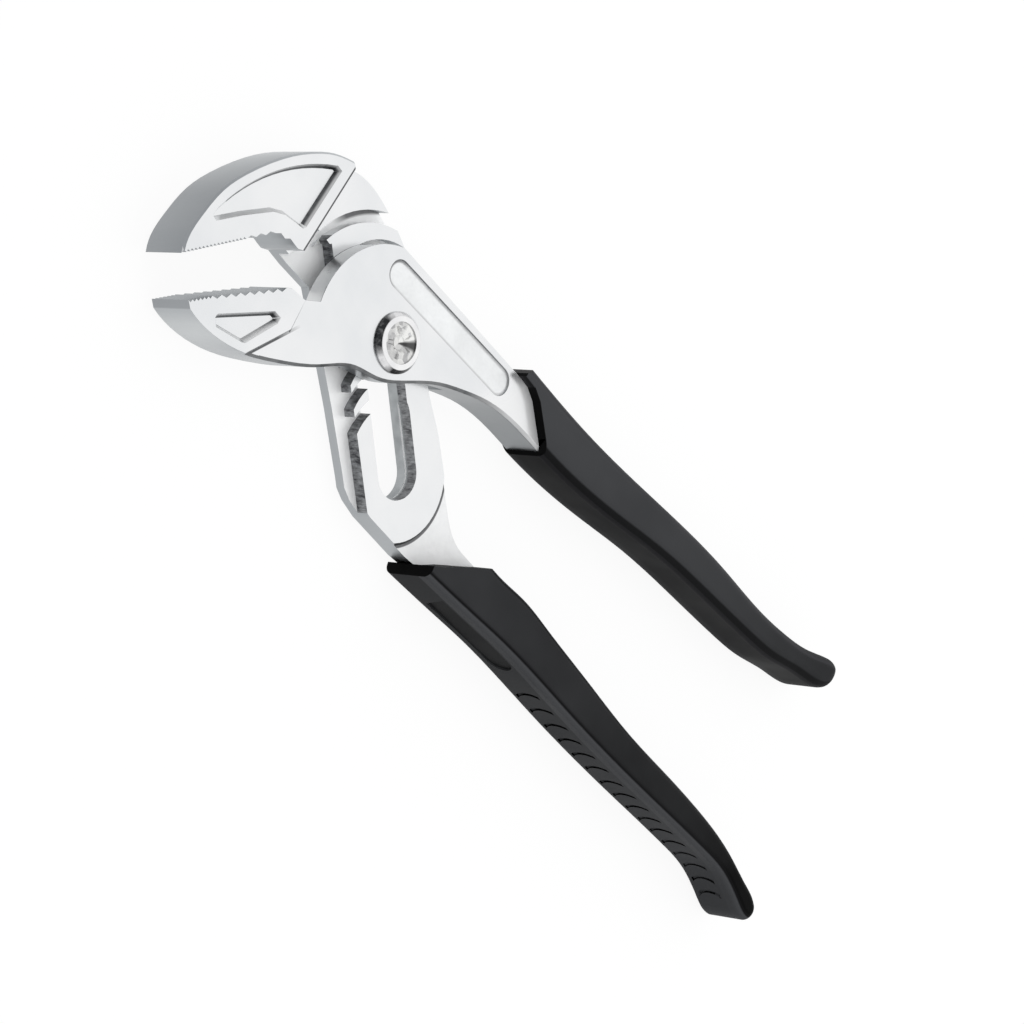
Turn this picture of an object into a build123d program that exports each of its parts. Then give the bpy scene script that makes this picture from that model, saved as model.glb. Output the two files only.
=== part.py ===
from build123d import *
import math
import os

os.makedirs("parts", exist_ok=True)

# Groove-joint universal pliers lying on their back.
# Origin on the pivot axis in the rest plane, +X to the handle ends, +Z out of the front face.

# Reach of the outlines from the pivot, which the outline shares follow
jaw_reach = 63.0
shank_reach = 60.0
neck_rise = 24.0
jaw_drop = 36.0

# Levels of the forgings, measured from the metal's back face
seat_gap = 1.5
ledge_height = 2.5
land_height = 5.6
plate_height = 10.4
pad_height = 11.5
boss_step = 0.6
boss_slope_degrees = 45.0
lever_play = 0.1

# Slot and grooves of the rear lever
slot_turn_degrees = -38.1
slot_width = 11.6
slot_up = 6.2
slot_down = 29.9
slot_relief = 0.5
relief_start = 17.1
wall_offset_neck = 11.6
wall_offset_shank = 10.25
wall_start = 24.0
wall_end = 38.0
boss_radius = 15.9
step_length_share = 1.4
step_width_share = 1.6
groove_pitch = 5.6
groove_width = 2.8
grooves_above_pivot = 1
grooves_below_pivot = 5
top_groove_radius = 24.6
top_groove_back = 3.8
top_groove_side = 3.75
top_groove_turn_degrees = 42.0
run_out_length = 8.0
run_out_start = 34.0
run_out_top = 5.2

# Tongue of the front lever, which sits in a groove
tongue_radius = 15.7
tongue_width = 1.9
tongue_gap = 0.25
tongue_start_degrees = -6.0
tongue_end_degrees = 34.0
groove_start_degrees = -16.0
groove_end_degrees = 62.0
upper_groove_start_degrees = -75.0

# Half lap that lets the front lever swing over the rear one
lap_radius = 28.5
pad_slope_degrees = 25.0

# Teeth
fine_tooth_pitch = 1.08
fine_tooth_height = 0.55
coarse_tooth_pitch = 2.7
coarse_tooth_height = 0.75
throat_tooth_height = 0.6

# Pockets and the bare recess
pocket_depth = 1.3
pocket_slope_degrees = 35.0
recess_depth = 0.4
recess_width = 6.6
recess_length = 46.8
recess_x = 10.65
recess_y = 13.4
recess_turn_degrees = 5.1

# Edges
forged_edge = 0.7
jaw_edge = 0.45

# Pivot bolt and nut
bolt_fit = 0.05
bolt_neck_width = 9.4
bolt_head_width = 17.0
bolt_head_edge = 0.5
head_play = 0.1
nut_width = 13.8
nut_height = 1.45
nut_edge = 0.95
nut_play = 0.05
bolt_end_drop = 0.35
dimple_width = 5.2
dimple_depth = 0.8
dimple_slope_degrees = 60.0
stake_count = 5
stake_width = 1.1
stake_depth = 0.45
stake_slope_degrees = 25.0

# Handles and sleeves
front_handle_reach = 172.9
front_handle_rise = 40.0
rear_handle_reach = 187.2
rear_handle_drop = 24.0
grip_height = 16.0
grip_thickness = 14.5
front_grip_corner = 3.0
rear_grip_corner = 2.2
sleeve_wall = 2.3
overrun = 30.0

# Finger grooves and the bare leaf recess in the rear sleeve's side
rib_width = 1.0
rib_depth = 0.5
rib_rise = 6.1
rib_radius = 5.4
rib_length = 7.0
leaf_start = 51.6
leaf_length = 30.4
leaf_slant = 2.0
leaf_width = 6.8
leaf_rise = 6.8
leaf_depth = 0.5

# Levels above the rest plane
z_back = seat_gap
z_ledge = seat_gap + ledge_height
z_land = seat_gap + land_height
z_face = seat_gap + plate_height
z_pad = seat_gap + pad_height
z_lap = z_land + lever_play

# Outline of the upper jaw, from its tip over the back to the neck
jaw_back_shares = [(-0.971, -0.792), (-0.990, -0.715), (-0.996, -0.533), (-0.979, -0.294),
                   (-0.937, -0.106), (-0.879, 0.117), (-0.800, 0.405), (-0.746, 0.554), (-0.678, 0.700),
                   (-0.611, 0.792), (-0.590, 0.815)]
jaw_neck_shares = [(-0.590, 0.815), (-0.570, 0.770), (-0.562, -0.131)]
jaw_throat_shares = [(-0.562, -0.131), (-0.590, -0.158), (-0.614, -0.158)]
jaw_tooth_shares = [(-0.614, -0.158), (-0.702, -0.212), (-0.789, -0.397)]
upper_pocket_arc_shares = [(-0.955, -0.410), (-0.851, 0.055), (-0.640, 0.642)]
upper_pocket_shares = [(-0.640, 0.642), (-0.613, 0.642), (-0.610, -0.017), (-0.617, -0.042),
                       (-0.710, -0.081), (-0.759, -0.133), (-0.854, -0.314), (-0.933, -0.481),
                       (-0.957, -0.472), (-0.955, -0.410)]

# Outline of the rear lever's neck and shank
neck_top_shares = [(0.217, 0.292), (0.067, 0.542), (-0.063, 0.750), (-0.179, 0.871), (-0.275, 0.929),
                   (-0.386, 0.963), (-0.476, 0.933), (-0.587, 0.680)]
shank_upper_shares = [(1.080, -0.540), (0.928, -0.489), (0.845, -0.492), (0.778, -0.461), (0.712, -0.394),
                      (0.603, -0.261), (0.528, -0.172), (0.462, -0.094), (0.395, -0.031), (0.217, 0.292)]
shank_lower_shares = [(-0.587, 0.680), (-0.587, -0.128), (-0.490, -0.128), (-0.356, -0.111),
                      (0.010, -0.522), (0.227, -0.772), (0.258, -0.811), (0.310, -0.839), (0.395, -0.853),
                      (0.637, -0.833), (0.767, -0.800), (1.080, -0.770)]

# Outline of the front lever
front_top_shares = [(-0.195, 0.704), (0.570, 0.850), (1.080, 0.940)]
front_neck_shares = [(-0.375, -0.244), (-0.354, 0.292), (-0.195, 0.704)]
front_under_shares = [(1.080, 0.590), (0.862, 0.508), (0.687, 0.471), (0.520, 0.375), (0.387, 0.229),
                      (0.270, 0.067), (0.137, -0.133), (0.020, -0.272), (-0.108, -0.361),
                      (-0.219, -0.528), (-0.378, -0.736), (-0.535, -0.894), (-0.662, -0.972),
                      (-0.770, -0.997), (-0.821, -0.992)]
front_tip_share = (-0.848, -0.961)
front_fine_end_share = (-0.778, -0.819)
front_coarse_end_share = (-0.540, -0.389)
front_throat_shares = [(-0.540, -0.389), (-0.519, -0.361), (-0.448, -0.342), (-0.375, -0.244)]
lower_pocket_shares = [(-0.719, -0.869), (-0.527, -0.553), (-0.492, -0.550), (-0.490, -0.592),
                       (-0.559, -0.850), (-0.571, -0.864), (-0.694, -0.933), (-0.719, -0.897)]
pad_edge_shares = [(-0.444, -0.353), (-0.430, -0.547), (-0.535, -0.894)]
front_core_shares = [(0.930, 0.590), (0.930, 0.880)]
rear_core_shares = [(0.930, -0.760), (0.930, -0.530)]
lap_wall_shares = [(0.225, 1.250), (0.225, 0.500), (0.255, 0.379), (0.500, -0.009)]

# Mouths of the sleeves
front_mouth_shares = [(0.577, 0.879), (0.578, 0.846), (0.645, 0.846), (0.703, 0.792), (0.770, 0.675),
                      (0.867, 0.508), (0.893, 0.375), (0.893, 0.100)]
front_nose_shares = [(0.577, 0.879), (0.610, 0.987), (0.660, 1.042)]
rear_mouth_shares = [(1.020, -0.330), (0.947, -0.505), (0.787, -0.697), (0.725, -0.785), (0.676, -0.840),
                     (0.683, -0.885), (0.688, -0.930), (0.688, -1.100)]

# Stations of the sleeves: place between the start and the tip, middle and height; the tips' places count back
# from the end in grip heights
front_start_share = 0.533
rear_start_share = 0.596
front_grip_shares = [(0.000, 0.428, 0.846), (0.090, 0.439, 0.847), (0.208, 0.468, 0.831),
                     (0.356, 0.543, 0.766), (0.504, 0.638, 0.676), (0.653, 0.706, 0.625),
                     (0.801, 0.757, 0.535), (0.874, 0.801, 0.514), (0.949, 0.875, 0.481)]
front_tip_shares = [(0.378, 0.935, 0.550), (0.184, 0.963, 0.513), (0.065, 0.975, 0.375)]
front_end_share = 0.980
rear_grip_shares = [(0.000, -1.071, 0.967), (0.070, -1.042, 0.925), (0.168, -1.011, 0.809),
                    (0.238, -0.961, 0.806), (0.308, -0.945, 0.753), (0.445, -0.933, 0.676),
                    (0.583, -0.910, 0.581), (0.725, -0.843, 0.534), (0.793, -0.812, 0.497),
                    (0.862, -0.791, 0.441), (0.932, -0.803, 0.366)]
rear_tip_shares = [(0.456, -0.887, 0.387), (0.234, -0.919, 0.394), (0.082, -0.938, 0.312)]
rear_end_share = -0.945

# Places of the finger grooves along the lower handle
rib_shares = [0.489, 0.522, 0.556, 0.589, 0.622, 0.654, 0.689, 0.720, 0.751, 0.781, 0.810, 0.840, 0.869,
              0.896, 0.922, 0.946]


def spot(share):
    """Place of an outline share: each side of the pivot follows its own reach."""
    across = jaw_reach if share[0] < 0 else shank_reach
    along = jaw_drop if share[1] < 0 else neck_rise
    return (share[0] * across, share[1] * along)


def spots(shares):
    return [spot(share) for share in shares]


def slot_point(down, side):
    """Place in the slot's own directions: down the slot, and to its upper right side."""
    turn = math.radians(slot_turn_degrees)
    x = down * math.cos(turn) - side * math.sin(turn)
    y = down * math.sin(turn) + side * math.cos(turn)
    return (x, y)


def saw(start, end, pitch, height):
    """Points of a row of teeth from start to end, notched to the left of that direction."""
    run_x = end[0] - start[0]
    run_y = end[1] - start[1]
    run = math.hypot(run_x, run_y)
    count = max(1, round(run / pitch))
    points = [start]
    for i in range(count):
        middle = (i + 0.5) / count
        low = (start[0] + run_x * middle - run_y / run * height, start[1] + run_y * middle + run_x / run * height)
        tip = (start[0] + run_x * (i + 1) / count, start[1] + run_y * (i + 1) / count)
        points.append(low)
        points.append(tip)
    return points


def stations(shares, tip_shares, start, reach, rise):
    """Real place, middle and height of each station of a sleeve, from its start on the shank to its tip."""
    tip = reach - tip_shares[0][0] * grip_height
    rows = [(start + s[0] * (tip - start), s[1] * rise, s[2] * grip_height) for s in shares]
    return rows + [(reach - s[0] * grip_height, s[1] * rise, s[2] * grip_height) for s in tip_shares]


def upper_side(rows):
    return [(x, middle + height / 2) for x, middle, height in rows]


def lower_side(rows):
    return [(x, middle - height / 2) for x, middle, height in rows]


def core_points(rows, root_shares):
    """Outline of the steel core inside a sleeve: from its root on the shank, one wall inside the sleeve."""
    inner = rows[3:-2]
    top = [(x, middle + height / 2 - sleeve_wall) for x, middle, height in inner]
    low = [(x, middle - height / 2 + sleeve_wall) for x, middle, height in inner]
    return top + low[::-1] + spots(root_shares)


def side_level(rows, x):
    """Height of a sleeve's lower side face at a place along the handle."""
    for a, b in zip(rows, rows[1:]):
        if a[0] <= x <= b[0]:
            part = (x - a[0]) / (b[0] - a[0])
            return (a[1] - a[2] / 2) * (1 - part) + (b[1] - b[2] / 2) * part
    return rows[-1][1]


front_start = shank_reach * front_start_share
rear_start = shank_reach * rear_start_share
front_rows = stations(front_grip_shares, front_tip_shares, front_start, front_handle_reach, front_handle_rise)
rear_rows = stations(rear_grip_shares, rear_tip_shares, rear_start, rear_handle_reach, rear_handle_drop)
front_top, front_low = upper_side(front_rows), lower_side(front_rows)
rear_top, rear_low = upper_side(rear_rows), lower_side(rear_rows)
front_end = (front_handle_reach, front_handle_rise * front_end_share)
rear_end = (rear_handle_reach, rear_handle_drop * rear_end_share)
slot_radius = slot_width / 2
leaf_level = side_level(rear_rows, leaf_start)
leaf_turn = math.atan2(side_level(rear_rows, leaf_start + leaf_length) - leaf_level, leaf_length)
leaf_plane = Plane(
    origin=(leaf_start, leaf_level + leaf_depth, leaf_rise),
    x_dir=(math.cos(leaf_turn), math.sin(leaf_turn), 0),
    z_dir=(math.sin(leaf_turn), -math.cos(leaf_turn), 0),
)

# Rear lever: upper jaw, slotted shank and the core of the lower handle
with BuildPart() as rear_lever:
    with BuildSketch(Plane.XY.offset(z_back)):
        with BuildLine():
            Spline(spots(shank_upper_shares))
            Spline(spots(neck_top_shares))
            Polyline(spots(shank_lower_shares))
            Line(spot(shank_lower_shares[-1]), spot(shank_upper_shares[0]))
        make_face()
    extrude(amount=land_height)
    with BuildSketch(Plane.XY.offset(z_ledge)):
        with BuildLine():
            Polyline(
                slot_point(-wall_start, -wall_offset_neck),
                slot_point(wall_end, -wall_offset_shank),
                slot_point(wall_end, -wall_offset_shank - overrun),
                slot_point(-wall_start, -wall_offset_neck - overrun),
                close=True,
            )
        make_face()
    extrude(amount=land_height, mode=Mode.SUBTRACT)
    with BuildSketch(Plane.XZ.offset(-run_out_top)):
        with BuildLine():
            Polyline(
                (-run_out_start, z_land),
                (run_out_length - run_out_start, z_ledge),
                (run_out_length - run_out_start, z_land),
                close=True,
            )
        make_face()
    extrude(amount=jaw_drop, mode=Mode.SUBTRACT)
    with BuildSketch(Plane.XY.offset(z_land - boss_step)):
        with Locations((boss_radius + shank_reach, -jaw_drop / 2)):
            Rectangle(shank_reach * step_length_share, jaw_drop * step_width_share)
        with Locations(slot_point(slot_down, 0)):
            Circle(boss_radius, mode=Mode.SUBTRACT)
    extrude(amount=boss_step * 2, taper=-boss_slope_degrees, mode=Mode.SUBTRACT)
    with BuildSketch(Plane.XY.offset(z_back)):
        with BuildLine():
            Spline(spots(jaw_back_shares))
            Polyline(spots(jaw_neck_shares))
            Polyline(spots(jaw_throat_shares))
            for start, end in zip(jaw_tooth_shares, jaw_tooth_shares[1:]):
                Polyline(saw(spot(start), spot(end), coarse_tooth_pitch, -throat_tooth_height))
            Polyline(saw(spot(jaw_tooth_shares[-1]), spot(jaw_back_shares[0]), fine_tooth_pitch, -fine_tooth_height))
        make_face()
    extrude(amount=pad_height)
    chamfer(rear_lever.edges().filter_by_position(Axis.Z, z_pad, z_pad).sort_by(SortBy.LENGTH)[-1], jaw_edge)
    with BuildSketch(Plane.XY.offset(z_pad)):
        with BuildLine():
            ThreePointArc(*spots(upper_pocket_arc_shares))
            Polyline(spots(upper_pocket_shares))
        make_face()
    extrude(amount=-pocket_depth, taper=pocket_slope_degrees, mode=Mode.SUBTRACT)
    with BuildSketch(Plane.XY.offset(z_back)):
        Polygon(*core_points(rear_rows, rear_core_shares), align=None)
    extrude(amount=plate_height)
    with BuildSketch(Plane.XY.offset(z_back)):
        SlotArc(Line(slot_point(-slot_up, 0), slot_point(slot_down, 0), mode=Mode.PRIVATE), slot_width)
    extrude(amount=land_height, mode=Mode.SUBTRACT)
    with BuildSketch(Plane.XY.offset(z_ledge)):
        SlotArc(
            Line(slot_point(relief_start, slot_relief), slot_point(slot_down, slot_relief), mode=Mode.PRIVATE),
            slot_width,
        )
    extrude(amount=land_height, mode=Mode.SUBTRACT)
    for step in range(-grooves_above_pivot, grooves_below_pivot + 1):
        start = groove_start_degrees if step > -grooves_above_pivot else upper_groove_start_degrees
        with BuildSketch(Plane.XY.offset(z_ledge)):
            SlotArc(
                CenterArc(
                    slot_point(step * groove_pitch, 0),
                    tongue_radius,
                    180 + slot_turn_degrees + start,
                    groove_end_degrees - start,
                    mode=Mode.PRIVATE,
                ),
                groove_width,
            )
        extrude(amount=land_height, mode=Mode.SUBTRACT)
    with BuildSketch(Plane.XY.offset(z_ledge)):
        SlotArc(
            CenterArc(
                slot_point(-top_groove_back, -top_groove_side),
                top_groove_radius,
                180 + slot_turn_degrees - top_groove_turn_degrees,
                top_groove_turn_degrees * 2,
                mode=Mode.PRIVATE,
            ),
            groove_width,
        )
    extrude(amount=land_height, mode=Mode.SUBTRACT)
rear_lever.part.label = "rear_lever"

# Front lever: lower jaw, pivot plate with the tongue behind it, and the core of the upper handle
with BuildPart() as front_lever:
    with BuildSketch(Plane.XY.offset(z_back)):
        with BuildLine():
            Polyline(spots(front_top_shares))
            ThreePointArc(*spots(front_neck_shares))
            Polyline(spots(front_throat_shares))
            Polyline(saw(spot(front_coarse_end_share), spot(front_fine_end_share), coarse_tooth_pitch, coarse_tooth_height))
            Polyline(saw(spot(front_fine_end_share), spot(front_tip_share), fine_tooth_pitch, fine_tooth_height))
            Line(spot(front_tip_share), spot(front_under_shares[-1]))
            Spline(spots(front_under_shares))
            Line(spot(front_under_shares[0]), spot(front_top_shares[-1]))
        make_face()
    extrude(amount=pad_height)
    with BuildSketch(Plane.XY.offset(z_pad)):
        with BuildLine():
            Polyline(
                (spot(pad_edge_shares[0])[0], spot(pad_edge_shares[0])[1] + neck_rise / 2),
                *spots(pad_edge_shares),
                (spot(pad_edge_shares[-1])[0] - neck_rise / 4, spot(pad_edge_shares[-1])[1] - neck_rise / 2),
                (shank_reach + overrun, -jaw_drop - overrun),
                (shank_reach + overrun, neck_rise + overrun),
                (-lap_radius, neck_rise + overrun),
                close=True,
            )
        make_face()
    extrude(amount=z_face - z_pad, taper=pad_slope_degrees, mode=Mode.SUBTRACT)
    chamfer(front_lever.edges().filter_by_position(Axis.Z, z_face, z_face).sort_by(SortBy.LENGTH)[-1], forged_edge)
    with BuildSketch(Plane.XY.offset(z_pad)):
        with BuildLine():
            Polyline(spots(lower_pocket_shares), close=True)
        make_face()
    extrude(amount=-pocket_depth, taper=pocket_slope_degrees, mode=Mode.SUBTRACT)
    with BuildSketch(Plane.XY.offset(z_back)):
        Circle(lap_radius)
        with BuildLine():
            Polyline(
                *spots(lap_wall_shares),
                (shank_reach, spot(lap_wall_shares[-1])[1]),
                (shank_reach, spot(lap_wall_shares[0])[1]),
                close=True,
            )
        make_face(mode=Mode.SUBTRACT)
    extrude(amount=land_height + lever_play, mode=Mode.SUBTRACT)
    with BuildSketch(Plane.XY.offset(z_back)):
        Polygon(*core_points(front_rows, front_core_shares), align=None)
    extrude(amount=plate_height)
    with BuildSketch(Plane.XY.offset(z_face)):
        with Locations((recess_x, recess_y)):
            SlotOverall(recess_length, recess_width, rotation=recess_turn_degrees)
    extrude(amount=-recess_depth, mode=Mode.SUBTRACT)
    with BuildSketch(Plane.XY.offset(z_ledge + tongue_gap)):
        SlotArc(
            CenterArc(
                (0, 0),
                tongue_radius,
                180 + slot_turn_degrees + tongue_start_degrees,
                tongue_end_degrees - tongue_start_degrees,
                mode=Mode.PRIVATE,
            ),
            tongue_width,
        )
    extrude(amount=z_lap - z_ledge - tongue_gap)
    with BuildSketch(Plane.XY.offset(z_lap)):
        Circle(bolt_neck_width / 2 + bolt_fit)
    extrude(amount=plate_height, mode=Mode.SUBTRACT)
front_lever.part.label = "front_lever"

# Sleeve of the lower handle
with BuildPart() as rear_grip:
    with BuildSketch(Plane.XY):
        with BuildLine():
            Spline(rear_top)
            ThreePointArc(rear_top[-1], rear_end, rear_low[-1])
            Spline(rear_low)
            Line(rear_low[0], rear_top[0])
        make_face()
    extrude(amount=grip_thickness)
    fillet(rear_grip.edges().filter_by(Plane.XY).filter_by(GeomType.LINE, reverse=True), rear_grip_corner)
    with BuildSketch(Plane.XY.offset(-overrun)):
        with BuildLine():
            Polyline(
                *spots(rear_mouth_shares),
                (0, spot(rear_mouth_shares[-1])[1]),
                (0, spot(rear_mouth_shares[0])[1]),
                close=True,
            )
        make_face()
    extrude(amount=overrun * 2, mode=Mode.SUBTRACT)
    add(rear_lever.part, mode=Mode.SUBTRACT)
    for share in rib_shares:
        x = share * rear_handle_reach
        with BuildSketch(Plane.XZ.offset(-side_level(rear_rows, x) - rib_depth)):
            with Locations((x + rib_radius, rib_rise)):
                Circle(rib_radius + rib_width / 2)
                Circle(rib_radius - rib_width / 2, mode=Mode.SUBTRACT)
            with Locations((x, rib_rise)):
                Rectangle(rib_radius, rib_length, mode=Mode.INTERSECT)
        extrude(amount=overrun, mode=Mode.SUBTRACT)
    with BuildSketch(leaf_plane):
        with BuildLine():
            Polyline(
                (leaf_length - leaf_width / 2, leaf_width / 2),
                (0, leaf_width / 2),
                (leaf_slant, -leaf_width / 2),
                (leaf_length - leaf_width / 2, -leaf_width / 2),
            )
            ThreePointArc(
                (leaf_length - leaf_width / 2, -leaf_width / 2),
                (leaf_length, 0),
                (leaf_length - leaf_width / 2, leaf_width / 2),
            )
        make_face()
    extrude(amount=overrun, mode=Mode.SUBTRACT)
rear_grip.part.label = "rear_grip"

# Sleeve of the upper handle
with BuildPart() as front_grip:
    with BuildSketch(Plane.XY):
        with BuildLine():
            Spline(front_top)
            ThreePointArc(front_top[-1], front_end, front_low[-1])
            Spline(front_low)
            Line(front_low[0], front_top[0])
        make_face()
    extrude(amount=grip_thickness)
    fillet(front_grip.edges().filter_by(Plane.XY).filter_by(GeomType.LINE, reverse=True), front_grip_corner)
    with BuildSketch(Plane.XY.offset(-overrun)):
        with BuildLine():
            Polyline(
                *spots(front_mouth_shares),
                (0, spot(front_mouth_shares[-1])[1]),
                (0, neck_rise * 2),
                (spot(front_nose_shares[-1])[0], neck_rise * 2),
                *spots(front_nose_shares[::-1]),
            )
        make_face()
    extrude(amount=overrun * 2, mode=Mode.SUBTRACT)
    add(front_lever.part, mode=Mode.SUBTRACT)
front_grip.part.label = "front_grip"

# Pivot bolt: flat head behind the rear lever, body in the slot, neck through the front lever
with BuildPart() as pivot_bolt:
    with BuildSketch(Plane.XY):
        Circle(bolt_head_width / 2)
    extrude(amount=seat_gap - head_play)
    chamfer(pivot_bolt.edges().group_by(Axis.Z)[0], bolt_head_edge)
    with BuildSketch(Plane.XY):
        Circle(slot_radius - bolt_fit)
    extrude(amount=z_land)
    with BuildSketch(Plane.XY):
        Circle(bolt_neck_width / 2)
    extrude(amount=z_face + nut_height - bolt_end_drop)
    with BuildSketch(Plane.XY.offset(z_face + nut_height - bolt_end_drop)):
        Circle(dimple_width / 2)
    extrude(amount=-dimple_depth, taper=dimple_slope_degrees, mode=Mode.SUBTRACT)
    with BuildSketch(Plane.XY.offset(z_face + nut_height - bolt_end_drop)):
        with PolarLocations(dimple_width / 2, stake_count):
            Rectangle(bolt_neck_width / 4, stake_width)
    extrude(amount=-stake_depth, taper=stake_slope_degrees, mode=Mode.SUBTRACT)
pivot_bolt.part.label = "pivot_bolt"

# Round nut on the front face
with BuildPart() as pivot_nut:
    with BuildSketch(Plane.XY.offset(z_face + nut_play)):
        Circle(nut_width / 2)
        Circle(bolt_neck_width / 2, mode=Mode.SUBTRACT)
    extrude(amount=nut_height - nut_play)
    chamfer(pivot_nut.edges().group_by(Axis.Z)[-1].sort_by(SortBy.RADIUS)[-1], nut_edge)
pivot_nut.part.label = "pivot_nut"

for piece in (rear_lever, front_lever, rear_grip, front_grip, pivot_bolt, pivot_nut):
    export_step(piece.part, "parts/" + piece.part.label + ".step")
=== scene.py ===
import math

import bpy
from mathutils import Matrix, Vector


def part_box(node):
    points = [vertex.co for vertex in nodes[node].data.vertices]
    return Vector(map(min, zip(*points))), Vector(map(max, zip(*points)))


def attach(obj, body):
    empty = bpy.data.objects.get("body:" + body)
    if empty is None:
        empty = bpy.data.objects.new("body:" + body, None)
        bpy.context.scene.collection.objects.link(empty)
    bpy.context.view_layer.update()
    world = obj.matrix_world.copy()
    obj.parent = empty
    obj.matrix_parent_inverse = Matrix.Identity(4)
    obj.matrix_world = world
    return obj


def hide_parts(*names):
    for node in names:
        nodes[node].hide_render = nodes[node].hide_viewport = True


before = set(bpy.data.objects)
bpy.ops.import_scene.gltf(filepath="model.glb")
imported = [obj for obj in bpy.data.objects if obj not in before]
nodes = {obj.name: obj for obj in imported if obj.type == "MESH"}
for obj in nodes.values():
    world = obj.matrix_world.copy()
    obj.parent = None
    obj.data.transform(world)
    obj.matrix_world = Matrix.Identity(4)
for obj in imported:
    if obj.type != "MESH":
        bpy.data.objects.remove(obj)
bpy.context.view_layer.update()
MM = 0.001

# Levels of the tool above the floor
pad_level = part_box("rear_lever")[1].z
face_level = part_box("pivot_nut")[0].z - 0.05 * MM
ledge_level = 4.0 * MM
ledge_top = ledge_level + 1.0 * MM
shank_top = ledge_level + 2.7 * MM
groove_foot = ledge_level + 1.2 * MM
slot_edge = ledge_level + 0.2 * MM
pocket_floor = pad_level - 1.3 * MM
pocket_rim = pad_level - 0.3 * MM
crown_foot = 14.1 * MM

# Slot of the rear lever, which its milled walls follow
slot_turn = math.radians(-38.1)
slot_side = 5.8 * MM
slot_wall_side = slot_side + 1.5 * MM
slot_start = -15.0 * MM
slot_end = 42.0 * MM
groove_row_start = -26.0 * MM
groove_row_side = -13.2 * MM
boss_start = 35.0 * MM

# Foot of the boss step, round the slot's lower end, where painted shade lies
boss_centre = (23.53 * MM, -18.45 * MM, 6.5 * MM)
boss_foot = 16.4 * MM

# Bare recess of the front lever
recess_centre = (10.65 * MM, 13.4 * MM, 0.0)
recess_turn = math.radians(5.1)
recess_straight = 20.1 * MM
recess_side = 3.3 * MM
recess_levels = (face_level - 0.5 * MM, face_level - 0.3 * MM)

# Stretches of the levers and sleeves with a finish or painted light and shade of their own, in millimetres
neck_x = (-31.0, -5.0)
neck_y = (-9.5, 17.0)
boss_slope_z = (6.4, 7.2)
upper_jaw_end = -35.5
upper_jaw_way = (0.72, -0.69)
upper_jaw_side = -24.0
lower_jaw_end = -34.0
under_flank_start = 12.0
ribs_x = (85.0, 178.0)
ribs_z = (2.3, 11.0)
ribs_side = -18.0
leaf_x = (76.0, 80.5)
leaf_z = (6.4, 7.2)
leaf_side = -28.8
mouths_end = 62.0
toward_tip_x = (50.0, 187.0)
nut_rim_radius = 5.5
bolt_rim_radius = 3.0

# Upward part of a normal: least of a level face, most of an upright wall, span of the pockets' walls
LEVEL = 0.9
UPRIGHT = 0.5
pocket_slope = (0.52, 0.65)

# Small edge rounds of the finished pieces
lever_round = 0.22 * MM
sleeve_round = 0.12 * MM
bolt_round = 0.08 * MM
nut_round = 0.1 * MM
round_segments = 2
round_angle = math.radians(35.0)
smooth_angle = math.radians(32.0)
flat_angle = math.radians(0.6)
weld_distance = 0.002 * MM

# Part of a noise's range where most of it lies
NOISE_SPAN = (0.35, 0.65)

# Ways in the tool's own frame
ALONG = (1.0, 0.0, 0.0)
ACROSS = (0.0, 1.0, 0.0)

# Studio
floor_size = 30.0
floor_drop = 0.2 * MM
tool_middle = (0.06, 0.0, 0.0)
panel_size = 1.6
panel_watts = 3.6
panel_distance = 1.2
floor_glow = 0.90
floor_grey = 0.10
sky_on_tool = 0.95
view_lens = 140.625
view_place = (-0.485385, -0.395784, 0.628398)
view_right = (0.49840, 0.46487, 0.73177)
view_back = (-0.59407, -0.43162, 0.67881)
mirror_way = (0.594, 0.432, 0.679)


def seen_directly(tree):
    """One where a camera, mirror or glass ray looks, zero for the light that falls on the tool."""
    path = tree.nodes.new("ShaderNodeLightPath")
    most = None
    for name in ("Is Camera Ray", "Is Glossy Ray", "Is Transmission Ray"):
        if most is None:
            most = path.outputs[name]
            continue
        pick = tree.nodes.new("ShaderNodeMath")
        pick.operation = "MAXIMUM"
        tree.links.new(most, pick.inputs[0])
        tree.links.new(path.outputs[name], pick.inputs[1])
        most = pick.outputs[0]
    return most


def studio_air():
    """White air all round, weaker where it only lights the tool."""
    world = bpy.data.worlds.new("studio_air")
    bpy.context.scene.world = world
    world.use_nodes = True
    tree = world.node_tree
    back = tree.nodes["Background"]
    level = tree.nodes.new("ShaderNodeMapRange")
    level.inputs["To Min"].default_value = sky_on_tool
    level.inputs["To Max"].default_value = 1.0
    tree.links.new(seen_directly(tree), level.inputs["Value"])
    tree.links.new(level.outputs["Result"], back.inputs["Strength"])
    back.inputs["Color"].default_value = (1.0, 1.0, 1.0, 1.0)


def studio_floor():
    """Pale paper that the tool lies on, white to the eye, with a faint shadow."""
    bpy.ops.object.select_all(action="DESELECT")
    bpy.ops.mesh.primitive_plane_add(size=floor_size, location=(tool_middle[0], tool_middle[1], -floor_drop))
    floor = bpy.context.object
    floor.name = "pale_floor"
    paint = bpy.data.materials.new("pale_paper")
    paint.use_nodes = True
    tree = paint.node_tree
    tree.nodes.clear()
    out = tree.nodes.new("ShaderNodeOutputMaterial")
    paper = tree.nodes.new("ShaderNodeAddShader")
    matte = tree.nodes.new("ShaderNodeBsdfDiffuse")
    glow = tree.nodes.new("ShaderNodeEmission")
    share = tree.nodes.new("ShaderNodeMath")
    share.operation = "MULTIPLY"
    share.inputs[1].default_value = floor_glow
    matte.inputs["Color"].default_value = (floor_grey, floor_grey, floor_grey, 1.0)
    tree.links.new(seen_directly(tree), share.inputs[0])
    tree.links.new(share.outputs[0], glow.inputs["Strength"])
    tree.links.new(matte.outputs[0], paper.inputs[0])
    tree.links.new(glow.outputs[0], paper.inputs[1])
    tree.links.new(paper.outputs[0], out.inputs["Surface"])
    floor.data.materials.append(paint)


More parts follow.
